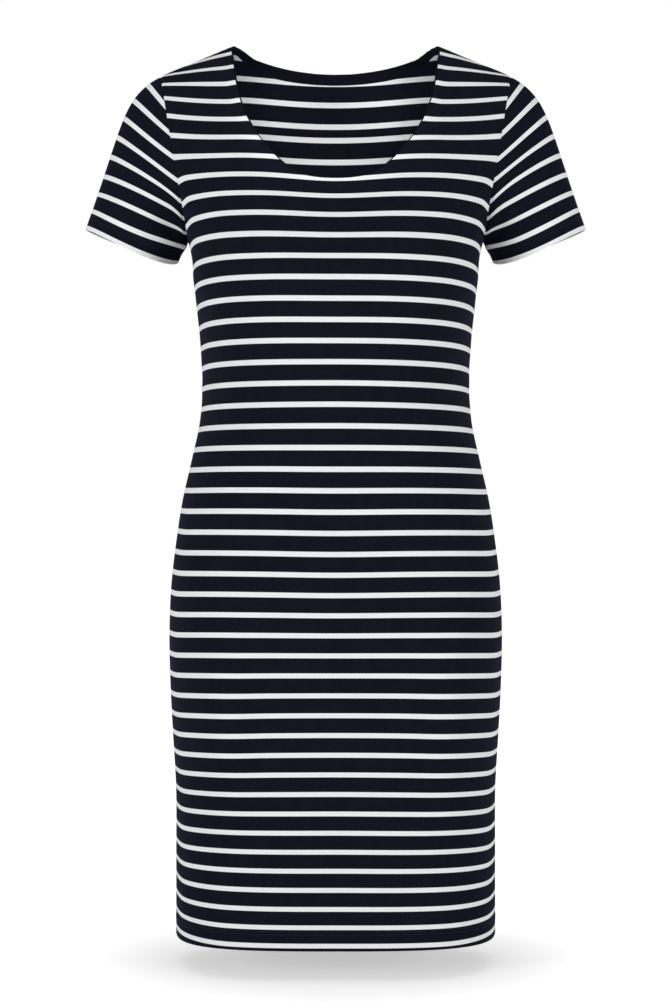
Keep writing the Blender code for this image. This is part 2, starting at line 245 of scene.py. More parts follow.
LEAN = (  # how it hangs at x = LEAN_X, as the wearer's left is the lower side
    (-0.9120, 0.0003),
    (-0.8500, 0.0010),
    (-0.7000, 0.0003),
    (-0.6000, 0.0003),
    (-0.5000, 0.0006),
    (-0.4200, 0.0012),
    (-0.3700, 0.0014),
    (-0.3200, 0.0018),
    (-0.1600, 0.0019),
    (-0.1300, 0.0011),
    (-0.0900, 0.0003),
    (-0.0400, 0.0001),
    (0.0000, 0.0000),
)
LEAN_X, LEAN_POWER = 0.117, 1.5
FLICK = (  # how it flicks up beside the side seam
    (-0.9120, 0.0000),
    (-0.8950, 0.0018),
    (-0.8600, 0.0036),
    (-0.8000, 0.0032),
    (-0.7000, 0.0020),
    (-0.5000, 0.0012),
    (-0.4200, 0.0000),
    (0.0000, 0.0000),
)
FLICK_SPREAD = 0.007
BACK_EVEN_Z, BACK_STEPS = -0.110, 40  # the back leans forward above this height
# How the back's stripes curve up from the centre below the neck, as a share of x squared.
SMILE, SMILE_SPREAD, SMILE_POWER = 0.6, 0.12, 4
SMILE_FROM, SMILE_FADE_IN = -0.21, 0.08
# A sleeve's stripes count up from its cuff. Each runs from the sleeve's outline, so far up from
# the cuff, to this height at the armhole seam, and sinks by its bend in between. Below the
# underarm it ends on the straight line from there to the cuff's inner end.
CUFF_STRIPE, UNDERARM_STRIPE = -0.12, 1.50
STRIPE_LINES = 160  # stripes are found between so many lines
LINES_PAST = 12  # and carried on this many lines past the last
CUFF_ROW = (CUFF_STRIPE, 0.0000, -0.2230, 0.0000, 0.45)
SHOULDER_ROW = (8.73, 0.1800, SHOULDER_Z, 0.0000, 0.50)
SLEEVE_STRIPES = {  # for the wearer's right or not: stripe, run, seam_z, bend, where it is deepest
    False: (
        CUFF_ROW,
        (1.00, 0.0214, -0.2070, 0.0073, 0.71),
        (UNDERARM_STRIPE, 0.0305, UNDERARM_Z, 0.0042, 0.66),
        (2.00, 0.0398, -0.1967, 0.0015, 0.65),
        (3.00, 0.0593, -0.1825, -0.0031, 0.78),
        (4.00, 0.0801, -0.1660, -0.0039, 0.62),
        (5.00, 0.1013, -0.1449, -0.0011, 0.50),
        (6.00, 0.1226, -0.1241, 0.0000, 0.50),
        (7.00, 0.1434, -0.0966, 0.0003, 0.50),
        (8.00, 0.1653, -0.0668, 0.0000, 0.50),
        SHOULDER_ROW,
    ),
    True: (
        CUFF_ROW,
        (1.00, 0.0198, -0.2070, 0.0059, 0.56),
        (UNDERARM_STRIPE, 0.0290, UNDERARM_Z, 0.0028, 0.60),
        (2.00, 0.0379, -0.1967, -0.0002, 0.75),
        (3.00, 0.0571, -0.1825, -0.0038, 0.80),
        (4.00, 0.0786, -0.1660, -0.0025, 0.64),
        (5.00, 0.1001, -0.1452, -0.0003, 0.50),
        (6.00, 0.1209, -0.1212, 0.0007, 0.50),
        (7.00, 0.1420, -0.0956, 0.0003, 0.50),
        (8.00, 0.1637, -0.0668, 0.0000, 0.50),
        SHOULDER_ROW,
    ),
}

NAVY = (0.0075, 0.0076, 0.0156, 1.0)
NAVY_BINDING = (0.0066, 0.0065, 0.0132, 1.0)
WHITE = (0.860, 0.857, 0.874, 1.0)
PURE_WHITE = (1.0, 1.0, 1.0, 1.0)
SHEEN_BLUE = (0.35, 0.42, 1.0, 1.0)
THREAD_DARK, THREAD_LIGHT = (0.004, 0.005, 0.013, 1.0), (0.012, 0.014, 0.032, 1.0)
NAVY_DARKEST, NAVY_LIGHTEST = 0.30, 1.70  # how far the knit's random tone and its painted shade take each colour
WHITE_DARKEST, WHITE_LIGHTEST = 0.96, 1.03
WALE, COURSE = 0.0009, 0.0007  # the knit's columns and rows
LOOP_SLANT = 0.55  # how many rows a loop's legs rise
STRIPE_BLUR, STRIPE_TOOTH = 0.012, 0.004  # of a repeat, at a white stripe's edges
STRIPES_ABOVE = 64  # keeps the count of stripes positive


def smooth(t):
    """0 to 1 with level ends."""
    return t**2 * (3 - 2 * t)


def bell(distance, spread):
    """1 at no distance, fading over the spread."""
    return np.exp(-((distance / spread) ** 2))


def unit(vectors):
    return vectors / np.linalg.norm(vectors, axis=-1, keepdims=True)


def lengths(points):
    """How far along a line of points each lies."""
    steps = np.linalg.norm(np.diff(points, axis=0), axis=-1)
    return np.concatenate([[0], np.cumsum(steps)])


def interpolated(at, run, values):
    """Rows of values, known at each run, at other places along it."""
    return np.stack([np.interp(at, run, column) for column in values.T], axis=-1)


def through_rows(rows, z, column):
    """A column of a table at any height, along a smooth curve through its rows."""
    table = np.array(rows)
    heights, values = table[:, 0], table[:, column]
    slopes = np.gradient(values, heights)
    row = np.clip(np.searchsorted(heights, z, side="right") - 1, 0, len(heights) - 2)
    step = heights[row + 1] - heights[row]
    t = (z - heights[row]) / step
    start = smooth(1 - t) * values[row] + t * (1 - t) ** 2 * step * slopes[row]
    end = smooth(t) * values[row + 1] - t**2 * (1 - t) * step * slopes[row + 1]
    return start + end


def ring_value(z, name):
    return through_rows(RINGS, z, RING_COLUMNS.index(name))


def front_forms(x, z):
    """How far the front's own forms stand out."""
    forward = 0.0
    for form in (THROAT, THIGHS):
        across = ((abs(x) - form.x) / form.spread_x) ** 2
        up = ((z - form.z) / form.spread_z) ** 2
        forward = forward + form.forward * np.exp(-across - up)
    return forward


def form_point(turn, z, side):
    """A place on the body's form, without the fullness at the shoulders' top."""
    half_width = ring_value(z, "half_width")
    depth = ring_value(z, "front" if side == FRONT else "back")
    power = ring_value(z, "front_round" if side == FRONT else "back_round")
    across, along = np.sin(turn), np.clip(np.cos(turn), 0, 1)
    reach = (np.abs(across) ** power + along**power) ** (-1 / power)
    x = half_width * reach * across
    y = depth * reach * along
    if side == FRONT:
        y = y + front_forms(x, z) * np.sqrt(along)
    fade = np.clip((SIDE_BACK_FROM - z) / (SIDE_BACK_FROM - SIDE_BACK_FULL), 0, 1)
    y = y + side * SIDE_BACK * smooth(fade) * across**SIDE_BACK_POWER
    return np.stack(np.broadcast_arrays(x, side * (y + SEAM_GAP), z), axis=-1)


def body_point(turn, z, side):
    """A place on the outside of the cloth."""
    point = form_point(turn, z, side)
    point[..., 2] += TOP_LIFT * bell(point[..., 2], TOP_LIFT_REACH)
    return point


def body_normal(turn, z, side):
    z = np.minimum(z, -TINY)
    inner = np.clip(turn, TINY - SIDE_TURN, SIDE_TURN - TINY)
    round_it = body_point(inner + TINY, z, side) - body_point(inner - TINY, z, side)
    up_it = body_point(inner, z + TINY, side) - body_point(inner, z - TINY, side)
    normal = np.cross(up_it, round_it) * side
    normal[..., 1] *= np.abs(turn) < SIDE_TURN - TINY
    return unit(normal)


def placed(rows, side):
    """Places and outward directions of rows (turn, z)."""
    turn, z = rows[:, 0], rows[:, 1]
    return body_point(turn, z, side), body_normal(turn, z, side)


def turn_at(x, z, side):
    """The turn at which the body's form has this x."""
    power = ring_value(z, "front_round" if side == FRONT else "back_round")
    share = np.minimum(x / ring_value(z, "half_width"), 1)
    return np.arctan2(share, (1 - share**power) ** (1 / power))


def neck_edge(share, side):
    """Turn and z along the neckline, from the centre to the shoulder seam."""
    if side == FRONT:
        x = NECK_HALF_WIDTH * np.sin(share * NECK_TURN)
        z = NECK_CENTRE_Z - NECK_DEPTH * np.cos(share * NECK_TURN)
        z = z - NECK_FULL * bell(x - NECK_FULL_X, NECK_FULL_SPREAD)
        x = x + NECK_FLARE * bell(z - NECK_FLARE_Z, NECK_FLARE_SPREAD)
    else:
        x = NECK_X * np.sin(share * SIDE_TURN)
        z = BACK_NECK_Z * np.clip(np.cos(share * SIDE_TURN), 0, 1) ** BACK_NECK_CURVE
        rise = BACK_NECK_RISE * bell(x - BACK_NECK_RISE_X, BACK_NECK_RISE_SPREAD)
        rise = rise * (1 - np.sin(share * SIDE_TURN) ** BACK_NECK_RISE_POWER)
        z = np.minimum(z + rise, 0)
    return np.where(share > 1 - TINY, SIDE_TURN, turn_at(x, z, side)), z


def armhole_x(z):
    rise = (z - UNDERARM_Z) / (SHOULDER_Z - UNDERARM_Z)
    return UNDERARM_X + (SHOULDER_X - UNDERARM_X) * np.maximum(rise, 0) ** ARMHOLE_LEAN


def armhole_edge(share, side):
    """Turn and z along the armhole, from the underarm to the shoulder seam."""
    heights = UNDERARM_Z + (SHOULDER_Z - UNDERARM_Z) * np.linspace(0, 1, CURVE_STEPS) ** 2
    turns = turn_at(armhole_x(heights), heights, side)
    turns[[0, -1]] = SIDE_TURN
    length = lengths(body_point(turns, heights, side))
    z = np.interp(share * length[-1], length, heights)
    return np.interp(z, heights, turns), z


def near_end(shares, length):
    """The same shares with some more close to 1, at the distances from a seam."""
    extra = 1 - np.array(SEAM_DISTANCES) / length
    return np.sort(np.concatenate([shares, extra]))


def close_to_shoulder(shares):
    """The same shares with some more in the last facet, beside the shoulder seam."""
    extra = shares[-2] + (1 - shares[-2]) * near_end(np.zeros(0), LAST_FACET)
    return np.sort(np.concatenate([shares, extra]))


def chest_ring():
    """Turns round a quarter of the chest, under the neckline and the armhole."""
    shares = np.linspace(0, 1, CHEST_FACETS + UNDERARM_FACETS + 1)
    return near_end(shares, QUARTER_GIRTH) * SIDE_TURN


def underarm_rows(side):
    """Rows (turn, z) of the block from the chest up to the lower armhole."""
    ring = chest_ring()[CHEST_FACETS:]
    share = (1 - (ring - ring[0]) / (ring[-1] - ring[0])) * UNDERARM_FACETS / ARMHOLE_FACETS
    bottom = np.stack(np.broadcast_arrays(ring, CHEST_Z))
    top = np.stack(armhole_edge(share, side))
    up = near_end(np.linspace(0, 1, UNDERARM_ROWS + 1), UNDERARM_Z - CHEST_Z)
    return bottom + (top - bottom) * up[:, None, None]


def upper_columns(side):
    """The fan's two ends: along the neckline, and along the chest, the block and the armhole."""
    ring = np.stack(np.broadcast_arrays(chest_ring()[:CHEST_FACETS], CHEST_Z))
    share = np.arange(UNDERARM_FACETS + 1, ARMHOLE_FACETS + 1) / ARMHOLE_FACETS
    armhole = np.stack(armhole_edge(close_to_shoulder(share), side))
    outer = np.concatenate([ring, underarm_rows(side)[:, :, 0].T, armhole], axis=1)
    share = np.linspace(0, 1, outer.shape[1] - len(SEAM_DISTANCES))
    return np.stack(neck_edge(close_to_shoulder(share), side)), outer


def fan(side, shares_of):
    """Rows (turn, z) up to the neckline, along lines that fan out from it to the chest and
    the armholes. shares_of gives each line's shares, counted from the neckline."""
    inner, outer = upper_columns(side)
    start, end = form_point(*inner, side), form_point(*outer, side)
    shares = shares_of(start, end)
    points = start + (end - start) * shares[..., None]
    turn = turn_at(points[..., 0], points[..., 2], side)
    turn = np.where(shares == 0, inner[0], np.where(shares == 1, outer[0], turn))
    turn[:, -1] = SIDE_TURN
    return mirrored(np.stack([turn, points[..., 2]], axis=1))[::-1]


def panel_shares(start, end):
    long = np.linalg.norm(end - start, axis=1)
    middle = np.linspace(0, 1, FAN_FACETS + 1)[:, None] + 0 * long
    close = np.array(SEAM_DISTANCES)[:, None] / long
    return np.sort(np.concatenate([middle, close, 1 - close]), axis=0)


def band_bound(start, end):
    """Where the binding ends on each line."""
    narrow = BAND_NARROW * np.clip((start[:, 0] - BAND_NARROW_X) / (NECK_X - BAND_NARROW_X), 0, 1)
    return BAND_WIDTH * (1 - narrow) / np.linalg.norm(end - start, axis=1)


def band_shares(start, end):
    return np.linspace(0, 1, BAND_FACETS + 1)[:, None] * band_bound(start, end)


def facing_shares(start, end):
    bound = band_bound(start, end)
    faced = np.minimum((FACING_Z - start[:, 2]) / (end - start)[:, 2], FACING_REACH)
    return bound + (faced - bound) * np.linspace(0, 1, FACING_FACETS + 1)[:, None]


def mirrored(half):
    """Rows from side to side, from those of the wearer's left half."""
    other = half[..., :0:-1] * np.array((-1, 1))[:, None]
    return np.concatenate([other, half], axis=-1)


def lower_rows():
    """Rows (turn, z) from the hem to the chest."""
    heights = np.linspace(HEM_Z + HEM + HEM_STEP, CHEST_Z, LENGTH_FACETS)
    heights = np.concatenate([HEM_Z + np.array(EDGE_DISTANCES), heights])
    return mirrored(np.stack(np.broadcast_arrays(chest_ring(), heights[:, None]), axis=1))


# ---------------------------------------------------------------- stripes


def fade_in(z, start, length):
    """0 below the start, and 1 from that length above it."""
    return np.clip((z - start) / length, 0, 1)


def hang(x, z):
    """How far a stripe lies below its height at LEVEL_X, further out."""
    out = np.clip((np.abs(x) - LEVEL_X) / (RISE_X - LEVEL_X), 0, 2) ** 2
    lean = through_rows(LEAN, z, 1) * (np.maximum(x, 0) / LEAN_X) ** LEAN_POWER
    from_side = ring_value(z, "half_width") - np.abs(x)
    flick = through_rows(FLICK, z, 1) * bell(from_side, FLICK_SPREAD)
    return lean - through_rows(RISE, z, 1) * out - flick


def front_stripe(x, z):
    """Which stripe a point of the front is on."""
    sag = through_rows(SAG, z, 1) * bell(x, SAG_SPREAD)
    from_armhole = np.maximum(armhole_x(z) - np.abs(x), 0)
    hook = HOOK * bell(from_armhole, HOOK_SPREAD)
    hook = hook * fade_in(z, HOOK_FROM, HOOK_FADE_IN) * fade_in(-z, -HOOK_TO, HOOK_FADE_OUT)
    below_centre = np.clip((z - NECK_CENTRE_Z) / NECK_DEPTH, -1, 0)
    from_neck = np.abs(x) - NECK_HALF_WIDTH * np.sqrt(1 - below_centre**2)
    curl = CURL * bell(from_neck, CURL_SPREAD) * fade_in(z, CURL_FROM, CURL_FADE_IN)
    height = np.minimum(z + hang(x, z) + sag + hook - curl, 0)
    return through_rows(FRONT_STRIPES, height, 1)


def back_height(x, z):
    """Heights on the back measured along the cloth above BACK_EVEN_Z, where it leans forward."""
    share = np.sin(np.linspace(0, SIDE_TURN, BACK_STEPS))
    heights = BACK_EVEN_Z + np.maximum(z - BACK_EVEN_Z, 0)[..., None] * share
    across = np.minimum(np.abs(x)[..., None] / ring_value(heights, "half_width"), 1)
    power = ring_value(heights, "back_round")
    y = ring_value(heights, "back") * (1 - across**power) ** (1 / power)
    run = np.sum(np.hypot(np.diff(heights, axis=-1), np.diff(y, axis=-1)), axis=-1)
    return np.minimum(z, BACK_EVEN_Z) + run


def back_stripe(x, z, rows):
    """Which stripe of these rows a point of the back or its facing is on."""
    near_neck = fade_in(z, SMILE_FROM, SMILE_FADE_IN)
    smile = SMILE * x**2 * near_neck * np.exp(-((x / SMILE_SPREAD) ** SMILE_POWER))
    height = back_height(x, z) if rows is BACK_STRIPES else z
    return through_rows(rows, height - smile + hang(x, z) * (1 - near_neck), 1)


def sunk_by(at, bend, bend_at):
    """How far a sleeve's stripe has sunk, this far along it."""
    down = np.sin(SIDE_TURN * at / bend_at)
    up = np.cos(SIDE_TURN * (at - bend_at) / (1 - bend_at))
    return bend * np.where(at < bend_at, down, up)


def sleeve_stripe(points, outline, front, mirror):
    """Which stripe each point of a sleeve is on. outline runs down the outside from shoulder
    to cuff, and front tells the columns of the front half."""
    table = np.array(SLEEVE_STRIPES[mirror]).T
    stripes = np.linspace(table[0, 0], table[0, -1], STRIPE_LINES)
    run, seam_z, bend, bend_at = (np.interp(stripes, table[0], column) for column in table[1:])
    outer = interpolated(run, lengths(outline[::-1]), outline[::-1, (0, 2)])
    cuff, underarm = CUFF_INNER[[0, 2]], np.array((UNDERARM_X, UNDERARM_Z))
    share = np.clip((stripes - CUFF_STRIPE) / (UNDERARM_STRIPE - CUFF_STRIPE), 0, 1)[:, None]
    inner = np.stack([armhole_x(seam_z), seam_z], axis=1)
    inner = np.where(share < 1, cuff + (underarm - cuff) * share, inner)
    line = inner - outer
    long = np.linalg.norm(line, axis=1)
    off = points[..., (0, 2)].reshape(-1, 1, 2) - outer
    at = np.clip(np.sum(off * line, axis=-1) / long**2, 0, 1)
    near_cuff = np.clip((1 - stripes) / (1 - CUFF_STRIPE), 0, 1)
    near_cuff = near_cuff * np.tile(front, len(points))[:, None]
    sunk = sunk_by(at, bend, bend_at) + near_cuff * cuff_droop(np.arccos(2 * at - 1))
    below = (line[:, 0] * off[..., 1] - line[:, 1] * off[..., 0]) / long - sunk
    first = np.where((below > 0).any(axis=1), np.argmax(below > 0, axis=1), len(stripes) - 1)
    first = np.maximum(first, 1)
    row = np.arange(len(below))
    before, after = below[row, first - 1], below[row, first]
    share = np.clip(before / (before - after), -LINES_PAST, LINES_PAST)
    stripe = stripes[first - 1] + share * (stripes[1] - stripes[0])
    return stripe.reshape(points.shape[:-1])


def cloth_uv(points, side, back_rows=BACK_STRIPES):
    """Metres across and along the cloth of points on the body."""
    x, z = points[..., 0], points[..., 2]
    stripe = front_stripe(x, z) if side == FRONT else back_stripe(x, z, back_rows)
    across = np.arctan2(x, side * points[..., 1] + TINY) * CLOTH_RADIUS
    return np.stack([across, -stripe * REPEAT], axis=-1)


# ---------------------------------------------------------------- meshes


def shell(name, grids, material, closed=False):
    """One closed wall of cloth from grids of (outer points, inner points, uv)."""
    outer = np.concatenate([g[0].reshape(-1, 3) for g in grids])
    inner = np.concatenate([g[1].reshape(-1, 3) for g in grids])
    uv = np.concatenate([g[2].reshape(-1, 2) for g in grids])
    first, faces = 0, []
    for points, _, _ in grids:
        rows, columns = points.shape[:2]
        at = first + np.arange(rows * columns).reshape(rows, columns)
        if closed:
            at = np.concatenate([at, at[:, :1]], axis=1)
        quads = np.stack([at[:-1, :-1], at[:-1, 1:], at[1:, 1:], at[1:, :-1]], axis=-1)
        faces.append(quads.reshape(-1, 4))
        first += rows * columns
    faces = np.concatenate(faces)
    outer, inner, uv, faces = welded(outer, inner, uv, faces)
    skin = [tuple(dict.fromkeys(f)) for f in faces.tolist()]
    skin = [f for f in skin if len(f) > 2]
    count = len(outer)
    sides = {}
    for face in skin:
        for start, end in zip(face, face[1:] + face[:1]):
            sides[start, end] = (end, start, start + count, end + count)
    rims = [rim for (start, end), rim in sides.items() if (end, start) not in sides]
    under = [tuple(v + count for v in reversed(face)) for face in skin]
    data = bpy.data.meshes.new(name)
    data.from_pydata(np.concatenate([outer, inner]).tolist(), [], skin + under + rims)
    layer = data.uv_layers.new(name="cloth")
    corner = np.zeros(len(data.loops), int)
    data.loops.foreach_get("vertex_index", corner)
    layer.data.foreach_set("uv", np.concatenate([uv, uv])[corner].ravel())
    return finished(name, data, material)


WELD = 2e-5
SHARP = math.radians(50)  # cloth bent more than this shows an edge


def tree_of(points):
    tree = KDTree(len(points))
    for i, place in enumerate(points.tolist()):
        tree.insert(place, i)
    tree.balance()
    return tree


def welded(outer, inner, uv, faces):
    """Joins points of different grids that lie in one place."""
    tree = tree_of(outer)
    keep = np.arange(len(outer))
    for i, place in enumerate(outer.tolist()):
        if keep[i] == i:
            for _, other, _ in tree.find_range(place, WELD):
                keep[other] = min(keep[other], i)
    kept, place_of = np.unique(keep, return_inverse=True)
    return outer[kept], inner[kept], uv[kept], place_of[faces]


def finished(name, data, material):
    """A smooth object of the mesh, with its faces outwards."""
    mesh = bmesh.new()
    mesh.from_mesh(data)
    bmesh.ops.recalc_face_normals(mesh, faces=mesh.faces)
    mesh.to_mesh(data)
    mesh.free()
    data.shade_smooth()
    data.set_sharp_from_angle(angle=SHARP)
    data.materials.append(material)
    return linked(name, data)


def linked(name, data):
    made = bpy.data.objects.new(name, data)
    bpy.context.scene.collection.objects.link(made)
    return made


SEAM_FINENESS = 6  # steps between two points of a seam
SIDE_SEAM_POINTS, SHOULDER_SEAM_POINTS, ARMHOLE_SEAM_POINTS = 300, 60, 120


def seam_tree(lines):
    """Points along seams, to find how near a place is to one."""
    dense = []
    for line in lines:
        steps = np.linspace(0, len(line) - 1, len(line) * SEAM_FINENESS)
        dense.append(interpolated(steps, np.arange(len(line)), line))
    return tree_of(np.concatenate(dense))


def seam_distance(points, tree):
    away = [tree.find(place)[2] for place in points.reshape(-1, 3).tolist()]
    return np.array(away).reshape(points.shape[:-1])


def seams_of(side):
    """The side, shoulder and armhole seams of the front or back, on both sides."""
    lines = [side_seam(), shoulder_seam(), armhole_seam(side)]
    return [flipped for line in lines for flipped in (line, line * MIRROR)]


def side_seam():
    z = np.linspace(HEM_Z, UNDERARM_Z, SIDE_SEAM_POINTS)
    return body_point(SIDE_TURN, z, FRONT)


def shoulder_seam():
    z = np.linspace(SHOULDER_Z, -TINY, SHOULDER_SEAM_POINTS)
    return body_point(SIDE_TURN, z, FRONT)


def armhole_seam(side):
    share = np.linspace(0, 1, ARMHOLE_SEAM_POINTS)
    return body_point(*armhole_edge(share, side), side)


SEAM_DEPTH, SEAM_WIDTH = 0.0007, 0.0013  # how the cloth dips into a seam
PUCKER, PUCKER_SPREAD = 0.00018, 0.006  # its faint ripple beside the seam
PUCKER_LENGTH, PUCKER_SWELL = 0.0075, 0.031  # the ripple's length, and how it comes and goes
PUCKER_X, PUCKER_Z = 0.6, 1.7  # how fast it runs on


def seam_dip(points, tree):
    """How far the cloth stands out beside a seam."""
    away = seam_distance(points, tree)
    along = (points[..., 2] * PUCKER_Z + points[..., 0] * PUCKER_X) * 2 * math.pi
    ripple = np.sin(along / PUCKER_LENGTH) * np.sin(along / PUCKER_SWELL)
    return PUCKER * ripple * bell(away, PUCKER_SPREAD) - SEAM_DEPTH * bell(away, SEAM_WIDTH)


# Creases: soft ridges from one x, z to another, with how far they stand out and their width.
CREASE_BOW = 0.12  # how far its middle bows, of its length
CREASE_START = 0.18  # how much of its rise it starts with
BODY_CREASES = {
    FRONT: (
        (0.148, -0.222, 0.100, -0.262, -0.0011, 0.009),
        (0.147, -0.240, 0.092, -0.246, 0.0008, 0.010),
        (-0.148, -0.220, -0.104, -0.256, -0.0010, 0.009),
        (-0.147, -0.238, -0.098, -0.247, 0.0008, 0.011),
        (0.140, -0.333, 0.070, -0.345, -0.0007, 0.010),
        (0.140, -0.356, 0.082, -0.361, -0.0008, 0.009),
        (-0.140, -0.338, -0.078, -0.344, -0.0008, 0.009),
        (-0.141, -0.362, -0.062, -0.371, -0.0007, 0.011),
        (0.040, -0.560, 0.120, -0.545, 0.0006, 0.018),
        (-0.045, -0.566, -0.110, -0.548, 0.0006, 0.018),
    ),
    BACK: (
        (0.150, -0.222, 0.105, -0.205, -0.0010, 0.009),
        (-0.150, -0.222, -0.098, -0.209, -0.0010, 0.010),
        (0.128, -0.318, -0.060, -0.330, -0.0012, 0.010),
        (-0.136, -0.334, 0.072, -0.346, -0.0014, 0.011),
        (0.138, -0.352, -0.084, -0.362, -0.0013, 0.010),
        (-0.130, -0.371, 0.040, -0.379, -0.0010, 0.011),
        (0.030, -0.640, 0.120, -0.668, 0.0007, 0.018),
        (-0.034, -0.648, -0.118, -0.664, 0.0007, 0.018),
    ),
}
SLEEVE_CREASES = {  # for the wearer's right or not, all written as for the left sleeve
    (False, FRONT): (
        (0.153, -0.199, 0.187, -0.186, -0.0034, 0.006),
        (0.154, -0.206, 0.190, -0.199, 0.0022, 0.006),
        (0.156, -0.180, 0.192, -0.152, -0.0009, 0.008),
        (0.196, -0.190, 0.238, -0.170, 0.0006, 0.010),
        (0.186, -0.085, 0.216, -0.120, -0.0006, 0.009),
    ),
    (False, BACK): (
        (0.154, -0.200, 0.194, -0.180, -0.0014, 0.007),
        (0.158, -0.172, 0.198, -0.140, -0.0010, 0.009),
        (0.184, -0.090, 0.222, -0.128, -0.0007, 0.010),
    ),
    (True, FRONT): (
        (0.153, -0.197, 0.190, -0.181, -0.0036, 0.006),
        (0.154, -0.205, 0.186, -0.199, 0.0022, 0.006),
        (0.157, -0.176, 0.188, -0.144, -0.0008, 0.008),
        (0.202, -0.186, 0.244, -0.168, 0.0006, 0.011),
        (0.188, -0.074, 0.210, -0.112, -0.0006, 0.008),
    ),
    (True, BACK): (
        (0.154, -0.201, 0.190, -0.186, -0.0013, 0.006),
        (0.157, -0.168, 0.192, -0.132, -0.0011, 0.009),
        (0.186, -0.096, 0.226, -0.124, -0.0006, 0.010),
    ),
}


def crease_height(points, creases):
    """How far the cloth stands out in its creases."""
    x, z = points[..., 0], points[..., 2]
    total = np.zeros(x.shape)
    for start_x, start_z, end_x, end_z, out, width in creases:
        length = math.hypot(end_x - start_x, end_z - start_z)
        along_x, along_z = (end_x - start_x) / length, (end_z - start_z) / length
        dx, dz = x - start_x, z - start_z
        run = (dx * along_x + dz * along_z) / length
        off = dx * along_z - dz * along_x
        bow = CREASE_BOW * length * (run - 0.5) ** 2
        nearest = np.clip(run, 0, 1)
        swell = np.sin(np.pi * (CREASE_START + (1 - CREASE_START) * nearest))
        fade = swell * bell((run - nearest) * length, width)
        total = total + out * np.clip(fade, 0, 1) * bell(off - bow, width)
    return total


def hemmed(points, normals, proud, up):
    """The cloth's outer and inner points, this far up from an edge that is turned up."""
    thick = CLOTH * (2 - np.clip((up - HEM) / HEM_STEP, 0, 1))
    rolled = ROLL * bell(up, ROLL_SPREAD)
    outer = points + normals * (proud - rolled)[..., None]
    inner = points + normals * (proud - thick + rolled)[..., None]
    return outer, inner


def inside(points, normals):
    """The outer and inner points of cloth that lies against the inside of the body."""
    outer = points - normals * (WALL + GAP)
    return outer, outer - normals * CLOTH


def body_shell(name, side, material):
    lower, upper, left = lower_rows(), fan(side, panel_shares), underarm_rows(side)
    right = left[..., ::-1] * np.array((-1, 1))[:, None]
    tree = seam_tree(seams_of(side))
    grids = []
    for rows in (lower, right, left, upper):
        points, normals = placed(rows, side)
        proud = seam_dip(points, tree) + crease_height(points, BODY_CREASES[side])
        skins = hemmed(points, normals, proud, rows[:, 1] - HEM_Z)
        grids.append((*skins, cloth_uv(points, side)))
    return shell(name, grids, material)


def make_facing(material):
    points, normals = placed(fan(BACK, facing_shares), BACK)
    uv = cloth_uv(points, BACK, FACING_STRIPES)
    return shell("neck_facing", [(*inside(points, normals), uv)], material)


def make_band(material):
    """The binding: a band inside the neck edge, with a lip that shows past it."""
    halves = []
    for side in (FRONT, BACK):
        rows = fan(side, band_shares)
        points, normals = placed(rows, side)
        outer, inner = inside(points, normals)
        near_top = np.clip(1 + rows[-1, 1] / TOP_LIFT_REACH, 0, 1) if side == FRONT else 1
        lip = BAND_LIP + (BACK_BAND_LIP - BAND_LIP) * near_top
        past = unit(outer[-1] - outer[-2]) * np.reshape(lip, (-1, 1))
        edges = outer[-1], inner[-1]
        for reach, sink in LIP_ROUND:
            thinner = normals[-1] * CLOTH * sink
            outer = np.concatenate([outer, [edges[0] + past * reach - thinner]])
            inner = np.concatenate([inner, [edges[1] + past * reach + thinner]])
        rise = np.linspace(0, BAND_WIDTH, len(outer))[:, None] + 0 * outer[..., 0]
        along = points[0, :, 0][None] + 0 * outer[..., 0]
        halves.append((outer, inner, np.stack([along, rise], axis=-1)))
    ring = [np.concatenate([front, back[:, -2:0:-1]], axis=1) for front, back in zip(*halves)]
    return shell("neck_binding", [tuple(ring)], material, closed=True)


# ---------------------------------------------------------------- sleeves


def armhole_loop():
    """Points, outward directions and shares once round the armhole, the front half first."""
    share = np.linspace(0, 1, ARMHOLE_FACETS + 1)
    loops = []
    for side in (FRONT, BACK):
        edge = armhole_edge(share, side)
        loops.append((body_point(*edge, side), body_normal(*edge, side)))
    (front, front_out), (back, back_out) = loops
    points = np.concatenate([front, back[-2:0:-1]])
    outward = np.concatenate([front_out, back_out[-2:0:-1]])
    return points, outward, np.concatenate([share, share[-2:0:-1]])


def sleeve_axis():
    """The way the sleeve leaves through its cuff."""
    across = unit(CUFF_OUTER - CUFF_INNER)
    return np.array((across[2], 0.0, -across[0]))


def cuff_droop(angle):
    """How far the front of the cuff hangs, going round it from the underarm."""
    return CUFF_DROOP * np.sin(angle) * (1 + CUFF_DROOP_LEAN * np.cos(angle))


def cuff_loop(share, front):
    angle = math.pi * share
    side = np.where(front, -1.0, 1.0)
    centre, half = (CUFF_OUTER + CUFF_INNER) / 2, (CUFF_OUTER - CUFF_INNER) / 2
    points = centre - half * np.cos(angle)[:, None]
    points[:, 1] += side * CUFF_HALF_DEPTH * np.sin(angle)
    droop = np.where(front, cuff_droop(angle), 0)
    return points + droop[:, None] * sleeve_axis()


def grid_normals(points):
    along = np.gradient(points, axis=0)
    round_it = np.roll(points, -1, axis=1) - np.roll(points, 1, axis=1)
    return unit(np.cross(along, round_it))


